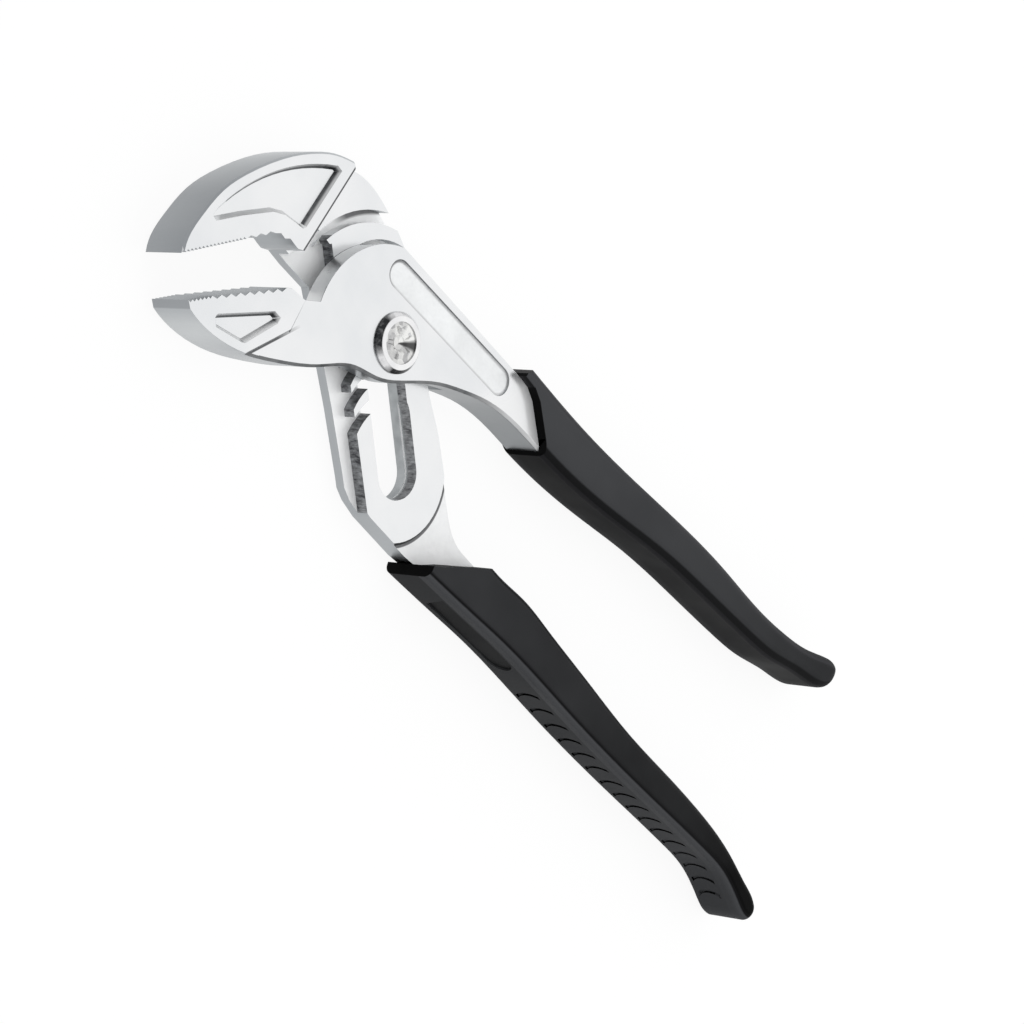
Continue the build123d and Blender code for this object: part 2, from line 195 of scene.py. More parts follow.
def soft_panel():
    """One large soft panel, which the front faces mirror."""
    panel = bpy.data.lights.new("front_panel", "AREA")
    panel.shape = "SQUARE"
    panel.size = panel_size
    panel.energy = panel_watts
    lamp = bpy.data.objects.new("front_panel", panel)
    bpy.context.scene.collection.objects.link(lamp)
    lamp.location = Vector(tool_middle) + panel_distance * Vector(mirror_way)
    lamp.rotation_euler = Vector(mirror_way).to_track_quat("Z", "Y").to_euler()
    lamp.visible_camera = False


def photograph_view():
    """Camera at the photograph's angle: the tool lies on its back and is seen from the jaws' side."""
    view = bpy.data.cameras.new("photograph_view")
    view.sensor_width = 36.0
    view.lens = view_lens
    view.clip_end = 50.0
    camera = bpy.data.objects.new("photograph_view", view)
    bpy.context.scene.collection.objects.link(camera)
    back_way = Vector(view_back).normalized()
    up = back_way.cross(Vector(view_right)).normalized()
    turn = Matrix((up.cross(back_way), up, back_way)).transposed()
    camera.matrix_world = Matrix.Translation(view_place) @ turn.to_4x4()
    bpy.context.scene.camera = camera


# Small helpers for the materials' node trees

def new_material(name, colour, metallic, roughness, specular=0.5):
    """A Principled material, and its tree with the surface and the object's own coordinates."""
    paint = bpy.data.materials.new(name)
    paint.use_nodes = True
    tree = paint.node_tree
    surface = tree.nodes["Principled BSDF"]
    surface.inputs["Base Color"].default_value = (*colour, 1.0)
    surface.inputs["Metallic"].default_value = metallic
    surface.inputs["Roughness"].default_value = roughness
    surface.inputs["Specular IOR Level"].default_value = specular
    place = tree.nodes.new("ShaderNodeTexCoord")
    return paint, tree, surface, place.outputs["Object"]


def noise(tree, place, scale, detail=4.0, rough=0.6, stretch=None, turn=0.0):
    """Noise on the object's coordinates, with marks stretched along one way where asked."""
    if stretch:
        lay = tree.nodes.new("ShaderNodeMapping")
        lay.inputs["Rotation"].default_value = (0.0, 0.0, turn)
        lay.inputs["Scale"].default_value = stretch
        tree.links.new(place, lay.inputs["Vector"])
        place = lay.outputs["Vector"]
    grain = tree.nodes.new("ShaderNodeTexNoise")
    grain.inputs["Scale"].default_value = scale
    grain.inputs["Detail"].default_value = detail
    grain.inputs["Roughness"].default_value = rough
    tree.links.new(place, grain.inputs["Vector"])
    return grain.outputs["Fac"]


def ranged(tree, value, low, high, start=0.0, end=1.0):
    """A value between low and high, from a pattern between start and end."""
    span = tree.nodes.new("ShaderNodeMapRange")
    span.inputs["From Min"].default_value = start
    span.inputs["From Max"].default_value = end
    span.inputs["To Min"].default_value = low
    span.inputs["To Max"].default_value = high
    tree.links.new(value, span.inputs["Value"])
    return span.outputs["Result"]


def spread(tree, grain, low=0.0, high=1.0):
    """A noise spread over the whole way from low to high."""
    return ranged(tree, grain, low, high, *NOISE_SPAN)


def two_tone(tree, value, dark, light):
    """A colour between dark and light by a pattern; each is three numbers or another colour of the tree."""
    mix = tree.nodes.new("ShaderNodeMix")
    mix.data_type = "RGBA"
    for index, colour in ((6, dark), (7, light)):
        if isinstance(colour, tuple):
            mix.inputs[index].default_value = (*colour, 1.0)
        else:
            tree.links.new(colour, mix.inputs[index])
    tree.links.new(value, mix.inputs[0])
    return mix.outputs[2]


def finished(tree, surface, colour, roughness, value, height, strength):
    """Gives a surface its colour and roughness, and a bump of a real height from a pattern."""
    tree.links.new(colour, surface.inputs["Base Color"])
    tree.links.new(roughness, surface.inputs["Roughness"])
    bump = tree.nodes.new("ShaderNodeBump")
    bump.inputs["Strength"].default_value = strength
    bump.inputs["Distance"].default_value = height
    tree.links.new(value, bump.inputs["Height"])
    tree.links.new(bump.outputs["Normal"], surface.inputs["Normal"])


def added(tree, first, second, share):
    """First pattern plus a share of the second."""
    weigh = tree.nodes.new("ShaderNodeMath")
    weigh.operation = "MULTIPLY_ADD"
    weigh.inputs[1].default_value = share
    tree.links.new(second, weigh.inputs[0])
    tree.links.new(first, weigh.inputs[2])
    return weigh.outputs[0]


def both(tree, first, second):
    """One where both patterns are one."""
    product = tree.nodes.new("ShaderNodeMath")
    product.operation = "MULTIPLY"
    tree.links.new(first, product.inputs[0])
    tree.links.new(second, product.inputs[1])
    return product.outputs[0]


def leaning(tree, place, way):
    """How far a place lies along a way."""
    lean = tree.nodes.new("ShaderNodeVectorMath")
    lean.operation = "DOT_PRODUCT"
    lean.inputs[1].default_value = way
    tree.links.new(place, lean.inputs[0])
    return lean.outputs["Value"]


def along(tree, place, way, start, end):
    """Zero before a place along a way, one after it, in millimetres."""
    return ranged(tree, leaning(tree, place, way), 0.0, 1.0, start * MM, end * MM)


def facing(tree, place, way, start, end):
    """One on the side of the pivot that faces a way, zero on the others."""
    flat = tree.nodes.new("ShaderNodeVectorMath")
    flat.operation = "MULTIPLY"
    flat.inputs[1].default_value = (1.0, 1.0, 0.0)
    tree.links.new(place, flat.inputs[0])
    unit = tree.nodes.new("ShaderNodeVectorMath")
    unit.operation = "NORMALIZE"
    tree.links.new(flat.outputs[0], unit.inputs[0])
    return ranged(tree, leaning(tree, unit.outputs[0], way), 0.0, 1.0, start, end)


def level_of(tree, place, low, high):
    """Zero below a height over the floor, one above it."""
    parts = tree.nodes.new("ShaderNodeSeparateXYZ")
    tree.links.new(place, parts.inputs[0])
    return ranged(tree, parts.outputs["Z"], 0.0, 1.0, low, high)


# Some tones below are set to the photograph's light, and lie on the tool's own coordinates

# Chrome of the two levers

def jaw_shade_line(tree, place):
    """Painted shade: a dark line on the upper jaw's pad, just inside its straight edge over the neck."""
    return along(tree, place, (1.0, 0.0216, 0.0), -36.0, -35.85)


def pad_shade_line(tree, place):
    """Painted shade: a dark line on the front lever at the foot of its pad, heavier towards the lower edge."""
    long_way = (0.884, -0.467, 0.0)
    short_way = (0.99, 0.128, 0.0)
    long_start = along(tree, place, long_way, -14.45, -14.35)
    long_end = along(tree, place, long_way, -13.6, -13.75)
    long_line = both(tree, both(tree, long_start, long_end), along(tree, place, ACROSS, -16.5, -23.0))
    short_start = along(tree, place, short_way, -29.0, -28.9)
    short_end = along(tree, place, short_way, -28.3, -28.45)
    below = along(tree, place, ACROSS, -12.0, -16.0)
    above = along(tree, place, ACROSS, -19.9, -19.6)
    short_line = both(tree, both(tree, short_start, short_end), both(tree, below, above))
    return added(tree, long_line, short_line, 0.8)


def chrome_face(name, shade_line=None, painted_light_from=None):
    """Satin chrome of the ground front faces: faint cloudy polish and fine lapping lines.

    The dark line given at the foot of a step is painted shade. Past the pale end's start, in millimetres, the
    face turns pale and less metallic as painted light, so that it doesn't mirror the black sleeve.
    """
    paint, tree, surface, place = new_material(name, (0.57, 0.58, 0.585), 1.0, 0.24)
    cloud = noise(tree, place, 55.0, 3.0, 0.5)
    lines = noise(tree, place, 900.0, 3.0, 0.6, stretch=(0.08, 1.0, 1.0), turn=math.radians(8.0))
    tone = two_tone(tree, spread(tree, cloud), (0.55, 0.56, 0.57), (0.60, 0.605, 0.61))
    # Dark line at a step's foot: painted shade
    if shade_line:
        tone = two_tone(tree, shade_line(tree, place), tone, (0.085, 0.087, 0.09))
    # Pale end: painted light in place of the sleeve's reflection
    if painted_light_from:
        dull = along(tree, place, (1.0, -0.35, 0.0), painted_light_from, painted_light_from + 7.0)
        tone = two_tone(tree, dull, tone, (0.74, 0.745, 0.75))
        tree.links.new(ranged(tree, dull, 1.0, 0.25), surface.inputs["Metallic"])
    cloudy = ranged(tree, cloud, 0.20, 0.26, 0.3, 0.7)
    lapped = ranged(tree, lines, -0.01, 0.015, 0.3, 0.7)
    rough = added(tree, cloudy, lapped, 1.0)
    finished(tree, surface, tone, rough, added(tree, cloud, lines, 0.08), 0.00008, 0.2)
    return paint


def flank_chrome(name, colour, toned):
    """Chrome over the forged flanks, rougher than the faces and slightly pebbled; toned gives its colour."""
    paint, tree, surface, place = new_material(name, colour, 1.0, 0.34)
    pebble = noise(tree, place, 420.0, 3.0, 0.55)
    cloud = noise(tree, place, 45.0, 2.0, 0.5)
    finished(tree, surface, toned(tree, place, cloud), spread(tree, cloud, 0.28, 0.40), pebble, 0.00005, 0.5)
    return paint


def plain_flank(name, low, high):
    """Chrome of a flank between two greys, darker than the faces."""
    def toned(tree, place, cloud):
        dark = (low, low * 1.05, low * 1.09)
        light = (high, high * 1.045, high * 1.08)
        return two_tone(tree, spread(tree, cloud), dark, light)

    return flank_chrome(name, (high, high, high), toned)


def upper_jaw_painted_shade(tree, place, cloud):
    """Upper jaw's outside, with painted light and shade: darkest at the tip and under the face."""
    over = added(tree, along(tree, place, ALONG, -62.0, -46.0), spread(tree, cloud, -0.08, 0.08), 1.0)
    low = two_tone(tree, over, (0.335, 0.35, 0.365), (0.60, 0.625, 0.64))
    high = two_tone(tree, over, (0.28, 0.295, 0.31), (0.48, 0.50, 0.515))
    return two_tone(tree, level_of(tree, place, 2.0 * MM, 12.5 * MM), low, high)


def lower_jaw_painted_shade(tree, place, cloud):
    """Under the lower jaw, with painted shade and light: dark at the tip, then brighter, then as the other
    flanks.
    """
    tip = along(tree, place, ALONG, -51.9, -51.6)
    tone = two_tone(tree, tip, (0.325, 0.34, 0.355), (0.45, 0.47, 0.485))
    tone = two_tone(tree, along(tree, place, ALONG, -51.0, -47.0), tone, (0.54, 0.56, 0.57))
    return two_tone(tree, along(tree, place, ALONG, -43.0, -36.0), tone, (0.42, 0.44, 0.455))


def milled_and_shaded_wall(name, foot):
    """Bare milled walls of the grooves and the slot: dark above their foot, partly the bare steel's own dull
    grey and partly painted shade, with coarse tool marks.
    """
    paint, tree, surface, place = new_material(name, (0.2, 0.2, 0.21), 1.0, 0.45)
    marks = noise(tree, place, 1300.0, 3.0, 0.7, stretch=(1.0, 1.0, 0.3))
    cloud = noise(tree, place, 260.0, 3.0, 0.6)
    mixed = added(tree, marks, cloud, 0.5)
    tone = two_tone(tree, ranged(tree, mixed, 0.0, 1.0, 0.56, 0.94), (0.06, 0.06, 0.065), (0.36, 0.37, 0.38))
    whole = two_tone(tree, level_of(tree, place, foot, foot + 0.4 * MM), (0.41, 0.43, 0.44), tone)
    finished(tree, surface, whole, spread(tree, cloud, 0.3, 0.6), mixed, 0.00012, 0.6)
    return paint


def pocket_wall_shade_and_highlight():
    """Sloping pressed walls of the jaws' pockets: dull, and dark at the foot as painted shade, with a painted
    highlight along the rim.
    """
    paint, tree, surface, place = new_material("pocket_wall_painted_shade_and_highlight", (0.12, 0.12, 0.125), 1.0, 0.4)
    speckle = noise(tree, place, 600.0, 3.0, 0.6)
    tone = two_tone(tree, spread(tree, speckle), (0.07, 0.072, 0.076), (0.13, 0.135, 0.14))
    # Painted highlight along the rim
    rim = level_of(tree, place, pad_level - 0.75 * MM, pad_level - 0.35 * MM)
    tone = two_tone(tree, rim, tone, (0.50, 0.505, 0.51))
    finished(tree, surface, tone, spread(tree, speckle, 0.34, 0.5), speckle, 0.00003, 0.4)
    return paint


def lower_edge_shade_and_light():
    """Lower front edge of the front lever, with painted shade and light: dark grey, bright beside the sleeve.
    """
    paint, tree, surface, place = new_material("lower_edge_painted_shade_and_light", (0.22, 0.22, 0.225), 1.0, 0.36)
    cloud = noise(tree, place, 240.0, 3.0, 0.6)
    tone = two_tone(tree, spread(tree, cloud), (0.13, 0.135, 0.14), (0.24, 0.245, 0.25))
    tone = two_tone(tree, along(tree, place, ALONG, 24.0, 38.0), tone, (0.56, 0.565, 0.57))
    finished(tree, surface, tone, spread(tree, cloud, 0.3, 0.44), cloud, 0.00004, 0.4)
    return paint


def painted_light_wall():
    """Narrow walls round the neck and under the pockets, made bright by a painted highlight."""
    paint, tree, surface, place = new_material("neck_wall_painted_highlight", (0.74, 0.75, 0.755), 1.0, 0.3)
    cloud = noise(tree, place, 120.0, 3.0, 0.55)
    tone = two_tone(tree, spread(tree, cloud), (0.70, 0.715, 0.72), (0.78, 0.785, 0.79))
    finished(tree, surface, tone, spread(tree, cloud, 0.24, 0.36), cloud, 0.00004, 0.4)
    return paint


def ledge_light_and_shadow():
    """Pale, hardly metallic ledge round the slot as painted light, with painted shadow drawn as a dark line in
    the ring groove.
    """
    paint, tree, surface, place = new_material("pale_ledge_painted_light_and_shadow", (0.94, 0.945, 0.95), 0.25, 0.5)
    blast = noise(tree, place, 1300.0, 2.0, 0.5)
    cloud = noise(tree, place, 60.0, 3.0, 0.55)
    tone = two_tone(tree, spread(tree, cloud), (0.91, 0.92, 0.925), (0.97, 0.975, 0.98))
    reach = tree.nodes.new("ShaderNodeVectorMath")
    reach.operation = "LENGTH"
    tree.links.new(place, reach.inputs[0])
    groove_shadow = ranged(tree, reach.outputs["Value"], 0.0, 1.0, 28.1 * MM, 28.7 * MM)
    groove_shadow = both(tree, groove_shadow, along(tree, place, ACROSS, 11.0, 15.0))
    tone = two_tone(tree, groove_shadow, tone, (0.17, 0.172, 0.176))
    finished(tree, surface, tone, spread(tree, blast, 0.45, 0.58), blast, 0.00003, 0.3)
    return paint


def shank_chrome():
    """Pale, partly metallic finish of the low land before the lower sleeve, with painted shade as a dark line
    at the boss's foot.
    """
    paint, tree, surface, place = new_material("pale_shank_land_painted_shade", (0.75, 0.76, 0.765), 0.35, 0.5)
    blast = noise(tree, place, 1300.0, 2.0, 0.5)
    cloud = noise(tree, place, 60.0, 3.0, 0.55)
    tone = two_tone(tree, spread(tree, cloud), (0.74, 0.75, 0.755), (0.80, 0.805, 0.81))
    from_boss = tree.nodes.new("ShaderNodeVectorMath")
    from_boss.operation = "DISTANCE"
    from_boss.inputs[1].default_value = boss_centre
    tree.links.new(place, from_boss.inputs[0])
    # Painted shade at the boss's foot
    foot = ranged(tree, from_boss.outputs["Value"], 1.0, 0.0, boss_foot, boss_foot + 0.25 * MM)
    tone = two_tone(tree, foot, tone, (0.12, 0.122, 0.126))
    finished(tree, surface, tone, spread(tree, blast, 0.45, 0.6), blast, 0.00004, 0.4)
    return paint


def recess_border(tree, place, start, end):
    """Zero in the middle of the front lever's recess, one along its border."""
    turned = tree.nodes.new("ShaderNodeMapping")
    turned.vector_type = "TEXTURE"
    turned.inputs["Location"].default_value = recess_centre
    turned.inputs["Rotation"].default_value = (0.0, 0.0, recess_turn)
    tree.links.new(place, turned.inputs["Vector"])
    parts = tree.nodes.new("ShaderNodeSeparateXYZ")
    tree.links.new(turned.outputs["Vector"], parts.inputs[0])
    length = tree.nodes.new("ShaderNodeMath")
    length.operation = "ABSOLUTE"
    tree.links.new(parts.outputs["X"], length.inputs[0])
    # A range one metre long, so this is the length past the recess's straight part, in metres
    past = ranged(tree, length.outputs[0], 0.0, 1.0, recess_straight, recess_straight + 1.0)
    flat = tree.nodes.new("ShaderNodeCombineXYZ")
    tree.links.new(past, flat.inputs["X"])
    tree.links.new(parts.outputs["Y"], flat.inputs["Y"])
    reach = tree.nodes.new("ShaderNodeVectorMath")
    reach.operation = "LENGTH"
    tree.links.new(flat.outputs[0], reach.inputs[0])
    return ranged(tree, reach.outputs["Value"], 0.0, 1.0, start, end)


def recess_floor():
    """Floor of the bare recess in the front lever: matter than the face, with painted shade darker along its
    border and darkest at the jaw's end.
    """
    paint, tree, surface, place = new_material("recess_floor_painted_shade", (0.53, 0.54, 0.545), 1.0, 0.38)
    blast = noise(tree, place, 1300.0, 2.0, 0.5)
    cloud = noise(tree, place, 90.0, 3.0, 0.55)
    tone = two_tone(tree, spread(tree, cloud), (0.60, 0.61, 0.615), (0.66, 0.67, 0.675))
    border = recess_border(tree, place, recess_side - 0.8 * MM, recess_side - 0.35 * MM)
    # Painted shade along the border, heaviest at the jaw's end
    jaw_end = both(tree, border, along(tree, place, ALONG, -8.0, -11.5))
    tone = two_tone(tree, border, tone, (0.44, 0.445, 0.45))
    tone = two_tone(tree, jaw_end, tone, (0.15, 0.152, 0.156))
    finished(tree, surface, tone, spread(tree, blast, 0.33, 0.45), blast, 0.00005, 0.4)
    return paint


# Plastic of the two sleeves

def sleeve_plastic(name, face, edge, side, edge_span, line_span, line_tone):
    """Black moulded plastic with a leathery grain, and tones of painted light and shade on face, edge and side.

    Each of face, edge and side is a grey at the mouth and one at the tip, as painted light and shade. The spans
    are heights in millimetres: over the first the side's tone turns into the edge's, in the second lies a line
    of painted shade.
    """
    paint, tree, surface, place = new_material(name, (0.02, 0.02, 0.02), 0.0, 0.5, 0.035)
    grain = noise(tree, place, 1500.0, 2.0, 0.5)
    rub = noise(tree, place, 38.0, 3.0, 0.55)
    # Towards the tip the tones change as painted light and shade
    toward_tip = along(tree, place, ALONG, *toward_tip_x)
    share = added(tree, toward_tip, spread(tree, rub, -0.1, 0.1), 1.0)
    tones = []
    for mouth, tip in (face, edge, side):
        light = (mouth, mouth * 1.03, mouth * 1.1)
        dark = (tip, tip * 1.03, tip * 1.1)
        tones.append(two_tone(tree, share, light, dark))
    edge_start, edge_end = (height * MM for height in edge_span)
    whole = two_tone(tree, level_of(tree, place, edge_start, edge_end), tones[2], tones[1])
    whole = two_tone(tree, level_of(tree, place, crown_foot, crown_foot + 0.2 * MM), whole, tones[0])
    line_start, line_end = (height * MM for height in line_span)
    line = both(
        tree,
        level_of(tree, place, line_start, line_start + 0.25 * MM),
        level_of(tree, place, line_end, line_end - 0.2 * MM),
    )
    whole = two_tone(tree, line, whole, (line_tone, line_tone, line_tone * 1.1))
    finished(tree, surface, whole, spread(tree, rub, 0.44, 0.58), grain, 0.00004, 0.35)
    return paint


# Steel of the bolt and the nut

def turned_steel():
    """Bright turned steel of the nut's top: fine rings round its axis."""
    paint, tree, surface, place = new_material("turned_nut_steel", (0.6, 0.6, 0.6), 1.0, 0.2)
    rings = tree.nodes.new("ShaderNodeTexWave")
    rings.wave_type = "RINGS"
    rings.rings_direction = "Z"
    rings.inputs["Scale"].default_value = 900.0
    rings.inputs["Distortion"].default_value = 1.5
    rings.inputs["Detail"].default_value = 2.0
    tree.links.new(place, rings.inputs["Vector"])
    cloud = noise(tree, place, 180.0, 3.0, 0.6)
    tone = two_tone(tree, spread(tree, cloud), (0.56, 0.56, 0.57), (0.64, 0.64, 0.64))
    finished(tree, surface, tone, spread(tree, cloud, 0.16, 0.26), rings.outputs["Fac"], 0.00002, 0.3)
    return paint


def rim_painted_reflection():
    """The nut's rim: bright, with two dark stretches of painted reflection on it."""
    paint, tree, surface, place = new_material("nut_rim_painted_reflection", (0.7, 0.7, 0.7), 1.0, 0.24)
    jaw_side = facing(tree, place, (-0.947, -0.32, 0.0), 0.62, 0.9)
    grip_side = facing(tree, place, (0.685, -0.729, 0.0), 0.72, 0.95)
    # Two dark stretches of painted reflection
    dark_reflection = added(tree, jaw_side, grip_side, 1.0)
    speckle = noise(tree, place, 700.0, 3.0, 0.6)
    reflection_share = added(tree, dark_reflection, spread(tree, speckle, -0.12, 0.12), 1.0)
    tone = two_tone(tree, reflection_share, (0.74, 0.74, 0.75), (0.025, 0.026, 0.028))
    finished(tree, surface, tone, spread(tree, speckle, 0.2, 0.32), speckle, 0.00003, 0.4)
    return paint


def staked_steel():
    """Staked end of the bolt: pressed facets, with a light and a dark wedge of painted light and shade."""
    paint, tree, surface, place = new_material("staked_bolt_steel", (0.42, 0.42, 0.42), 1.0, 0.26)
    facets = tree.nodes.new("ShaderNodeTexVoronoi")
    facets.feature = "F1"
    facets.inputs["Scale"].default_value = 620.0
    facets.inputs["Randomness"].default_value = 1.0
    tree.links.new(place, facets.inputs["Vector"])
    bend = noise(tree, place, 900.0, 2.0, 0.5)
    mixed = added(tree, facets.outputs["Color"], bend, 0.8)
    tone = two_tone(tree, ranged(tree, mixed, 0.0, 1.0, 0.45, 1.35), (0.26, 0.26, 0.265), (0.58, 0.58, 0.57))
    # A painted highlight on one side
    rise = facing(tree, place, (0.4, 0.917, 0.0), 0.72, 0.86)
    tone = two_tone(tree, rise, tone, (0.62, 0.62, 0.61))
    # A dark wedge of painted shade
    wedge = facing(tree, place, (0.86, 0.51, 0.0), 0.93, 0.99)
    tone = two_tone(tree, wedge, tone, (0.06, 0.06, 0.06))
    finished(tree, surface, tone, spread(tree, bend, 0.18, 0.36), mixed, 0.00008, 0.5)
    return paint


# The pieces and their faces

def dressed(node, body, round_width):
    """A finer copy of a frame node: whole faces again, small edge rounds and smooth shading."""
    bpy.ops.object.select_all(action="DESELECT")
    piece = nodes[node].copy()
    piece.data = nodes[node].data.copy()
    piece.name = node + "_finish"
    bpy.context.scene.collection.objects.link(piece)
    piece.data.materials.clear()
    bpy.context.view_layer.objects.active = piece
    piece.select_set(True)
    bpy.ops.object.mode_set(mode="EDIT")
    bpy.ops.mesh.select_all(action="SELECT")
    bpy.ops.mesh.remove_doubles(threshold=weld_distance)
    bpy.ops.mesh.customdata_custom_splitnormals_clear()
    bpy.ops.mesh.mark_sharp(clear=True)
    bpy.ops.mesh.dissolve_limited(angle_limit=flat_angle)
    bpy.ops.object.mode_set(mode="OBJECT")
    edge = piece.modifiers.new("edge_round", "BEVEL")
    edge.width = round_width
    edge.segments = round_segments
    edge.limit_method = "ANGLE"
    edge.angle_limit = round_angle
    edge.use_clamp_overlap = True
    edge.harden_normals = False
    bpy.ops.object.modifier_apply(modifier=edge.name)
    bpy.ops.object.shade_smooth_by_angle(angle=smooth_angle)
    flat = piece.modifiers.new("flat_faces", "WEIGHTED_NORMAL")
    flat.keep_sharp = True
    bpy.ops.object.modifier_apply(modifier=flat.name)
    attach(piece, body)
    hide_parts(node)
    return piece


def everywhere(place, way):
    return True


def finish_where(piece, paint, test=everywhere):
    """Gives a material to the faces that a test on their middle and normal picks."""
    piece.data.materials.append(paint)
    index = len(piece.data.materials) - 1
    for face in piece.data.polygons:
        if test(face.center, face.normal):
            face.material_index = index


def within(length, span):
    """Whether a length lies in a span given in millimetres."""
    return span[0] * MM < length < span[1] * MM


def upright(way):
    return abs(way.z) < UPRIGHT


def on_wall(place, way):
    return upright(way)


def along_slot(place):
    """Distance of a place down the slot from the pivot's axis, and to the slot's upper side."""
    down = place.x * math.cos(slot_turn) + place.y * math.sin(slot_turn)
    side = place.y * math.cos(slot_turn) - place.x * math.sin(slot_turn)
    return down, side


def in_groove_row(place, way):
    """Upright walls above the ledge on the slot's jaw side."""
    down, side = along_slot(place)
    above = groove_foot < place.z < pocket_floor
    return above and upright(way) and groove_row_side < side < 0.0 and groove_row_start < down < slot_end


def in_slot(place, way):
    """The slot's own wall on the grip side."""
    down, side = along_slot(place)
    low = place.z < pocket_floor
    return low and upright(way) and 0.0 < side < slot_wall_side and slot_start < down < slot_end


def on_boss_slope(place, way):
    """Sloping step at the boss's lower end."""
    down, side = along_slot(place)
    return within(place.z, boss_slope_z) and 0.4 < way.z < LEVEL and down > boss_start


def on_neck(place, way):
    """Upright walls round the neck, between the upper jaw and the front lever."""
    inside = within(place.x, neck_x) and within(place.y, neck_y)
    return inside and upright(way) and way.y > -0.3 and way.x < 0.2


def on_ledge(place, way):
    return way.z > LEVEL and place.z < ledge_top


def on_shank(place, way):
    return way.z > LEVEL and ledge_top < place.z < shank_top


def on_jaw_pad(place, way):
    return way.z > LEVEL and place.z > pad_level - 0.1 * MM


def on_front_face(place, way):
    return way.z > LEVEL and face_level - 0.1 * MM < place.z < pocket_floor + 0.3 * MM


def on_recess_floor(place, way):
    return way.z > LEVEL and recess_levels[0] < place.z < recess_levels[1]


def on_pocket_wall(place, way):
    return pocket_floor < place.z < pocket_rim and pocket_slope[0] < way.z < pocket_slope[1]


def on_dark_pocket_wall(place, way):
    """Sloping walls of a jaw's pocket that turn towards the slot and the lower jaw, which take painted shade.
    """
    return on_pocket_wall(place, way) and (way.y < -0.2 or (way.x < -0.6 and way.y < 0.2))


def on_front_edge(place, way):
    """The front lever's forged edge on its lower side."""
    return face_level - 0.8 * MM < place.z < face_level and 0.3 < way.z < 0.95 and way.y < -0.1


def on_upper_jaw_flank(place, way):
    """Outside of the upper jaw, with the small round under its face."""
    outward = way.x < -0.25 or way.y > 0.35
    side = upright(way) or (abs(way.z) < 0.93 and place.z > pocket_rim)
    reach = place.x * upper_jaw_way[0] + place.y * upper_jaw_way[1]
    return side and outward and place.x < upper_jaw_end * MM and reach < upper_jaw_side * MM


def on_lower_jaw_flank(place, way):
    return upright(way) and place.x < lower_jaw_end * MM and way.y < -0.2


def on_under_flank(place, way):
    """The front lever's lower flank, painted dark as its shade."""
    return upright(way) and place.x > under_flank_start * MM and way.y < -0.3


def on_mouth_wall(place, way):
    """Walls of the sleeves' mouths, which look towards the jaws, drawn near black as painted shade."""
    return place.x < mouths_end * MM and way.x < -0.3 and upright(way)


def on_rib_wall(place, way):
    """Small upright walls of the finger ribs in the lower sleeve's side, drawn near black as painted shade."""
    inside = within(place.x, ribs_x) and within(place.z, ribs_z) and place.y < ribs_side * MM
    return inside and (abs(way.x) > 0.65 or abs(way.z) > 0.35)


def on_leaf_floor(place, way):
    """Floor of the leaf-shaped recess in the lower sleeve's side."""
    inside = within(place.x, leaf_x) and within(place.z, leaf_z) and place.y > leaf_side * MM
    return inside and way.y < -0.95


def on_sleeve_back(place, way):
    return way.y > 0.2


def on_nut_rim(place, way):
    return way.z < 0.8 and place.xy.length > nut_rim_radius * MM


def on_staked_end(place, way):
    return place.z > face_level


def on_bolt_rim(place, way):
    return place.z > face_level and way.z < LEVEL and place.xy.length > bolt_rim_radius * MM


studio_air()
studio_floor()
soft_panel()
photograph_view()
bpy.context.scene.view_settings.view_transform = "Standard"

face_paint = chrome_face("satin_chrome_face")
pad_paint = chrome_face("upper_jaw_pad_chrome", shade_line=jaw_shade_line)
front_paint = chrome_face("front_lever_chrome", shade_line=pad_shade_line, painted_light_from=24.0)
flank_paint = plain_flank("forged_chrome_flank", 0.375, 0.435)
upper_flank_paint = flank_chrome("upper_jaw_flank_chrome", (0.4, 0.41, 0.42), upper_jaw_painted_shade)
lower_flank_paint = flank_chrome("lower_jaw_flank_chrome", (0.45, 0.46, 0.47), lower_jaw_painted_shade)
under_paint = plain_flank("shaded_lower_flank", 0.235, 0.29)
groove_paint = milled_and_shaded_wall("groove_wall_milled_and_shaded", 0.0)
slot_paint = milled_and_shaded_wall("slot_wall_milled_and_shaded", slot_edge)
pocket_paint = pocket_wall_shade_and_highlight()
edge_paint = lower_edge_shade_and_light()
neck_paint = painted_light_wall()
ledge_paint = ledge_light_and_shadow()
shank_paint = shank_chrome()
recess_paint = recess_floor()
# The sleeves' tones by face, edge and side and towards the tip are painted light and shade
rear_skin = sleeve_plastic(
    "lower_sleeve_plastic",
    face=(0.030, 0.001),
    edge=(0.070, 0.064),
    side=(0.027, 0.058),
    edge_span=(10.6, 10.9),
    line_span=(13.85, 14.42),
    line_tone=0.005,
)
front_skin = sleeve_plastic(
    "upper_sleeve_plastic",
    face=(0.050, 0.018),
    edge=(0.008, 0.008),
    side=(0.052, 0.052),
    edge_span=(0.3, 5.3),
    line_span=(11.4, 13.2),
    line_tone=0.018,
)
back_skin = sleeve_plastic(
    "upper_sleeve_back_plastic",
    face=(0.050, 0.018),
    edge=(0.052, 0.028),
    side=(0.037, 0.030),
    edge_span=(6.0, 7.0),
    line_span=(13.85, 14.42),
    line_tone=0.037,
)
# Near-black plastic as painted shade on the mouths' and the ribs' walls
mouth_shade_skin = sleeve_plastic(
    "sleeve_mouth_painted_shade",
    face=(0.012, 0.012),
    edge=(0.002, 0.002),
    side=(0.001, 0.001),
    edge_span=(6.0, 7.0),
    line_span=(13.85, 14.42),
    line_tone=0.001,
)
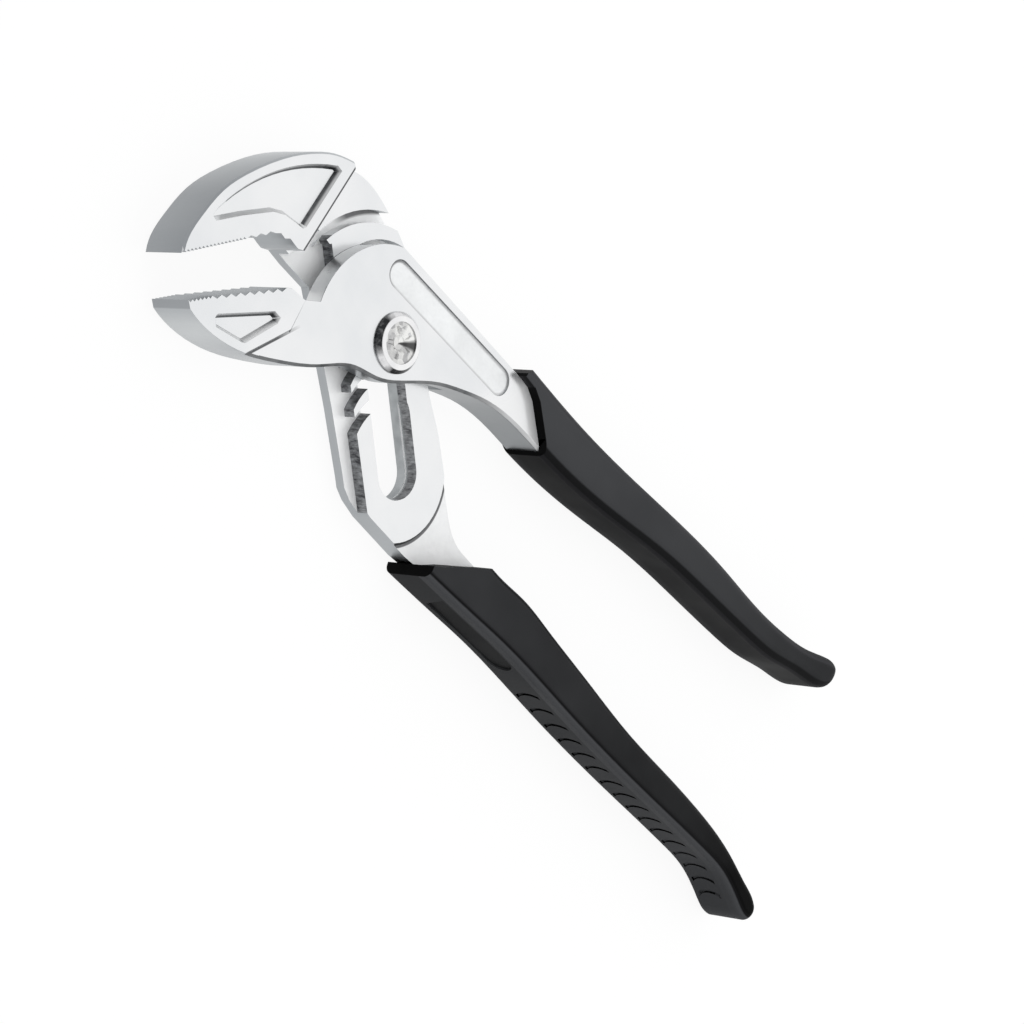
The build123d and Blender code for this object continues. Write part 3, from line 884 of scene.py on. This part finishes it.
leaf_skin = sleeve_plastic(
    "leaf_recess_plastic",
    face=(0.012, 0.012),
    edge=(0.011, 0.011),
    side=(0.008, 0.008),
    edge_span=(5.0, 8.0),
    line_span=(13.85, 14.42),
    line_tone=0.001,
)
nut_paint = turned_steel()
rim_paint = rim_painted_reflection()
bolt_paint = staked_steel()

rear = dressed("rear_lever", "rear_body", lever_round)
front = dressed("front_lever", "front_body", lever_round)
rear_sleeve = dressed("rear_grip", "rear_body", sleeve_round)
front_sleeve = dressed("front_grip", "front_body", sleeve_round)
bolt = dressed("pivot_bolt", "pivot_body", bolt_round)
nut = dressed("pivot_nut", "pivot_body", nut_round)

# Later finishes lie over earlier ones where both tests pick a face
for piece in (rear, front):
    finish_where(piece, face_paint)
    finish_where(piece, flank_paint, on_wall)
    finish_where(piece, neck_paint, on_neck)
    finish_where(piece, neck_paint, on_pocket_wall)
    finish_where(piece, pocket_paint, on_dark_pocket_wall)
finish_where(rear, upper_flank_paint, on_upper_jaw_flank)
finish_where(front, lower_flank_paint, on_lower_jaw_flank)
finish_where(front, front_paint, on_front_face)
finish_where(rear, pad_paint, on_jaw_pad)
finish_where(rear, ledge_paint, on_ledge)
finish_where(rear, shank_paint, on_shank)
finish_where(rear, groove_paint, in_groove_row)
finish_where(rear, slot_paint, in_slot)
# The boss's sloping step takes the pockets' painted shade as a dark line
finish_where(rear, pocket_paint, on_boss_slope)
finish_where(front, under_paint, on_under_flank)
finish_where(front, edge_paint, on_front_edge)
finish_where(front, recess_paint, on_recess_floor)
finish_where(rear_sleeve, rear_skin)
finish_where(rear_sleeve, leaf_skin, on_leaf_floor)
finish_where(rear_sleeve, mouth_shade_skin, on_rib_wall)
finish_where(front_sleeve, front_skin)
finish_where(front_sleeve, back_skin, on_sleeve_back)
for piece in (rear_sleeve, front_sleeve):
    finish_where(piece, mouth_shade_skin, on_mouth_wall)
finish_where(nut, nut_paint)
finish_where(nut, rim_paint, on_nut_rim)
finish_where(bolt, nut_paint)
finish_where(bolt, bolt_paint, on_staked_end)
finish_where(bolt, rim_paint, on_bolt_rim)
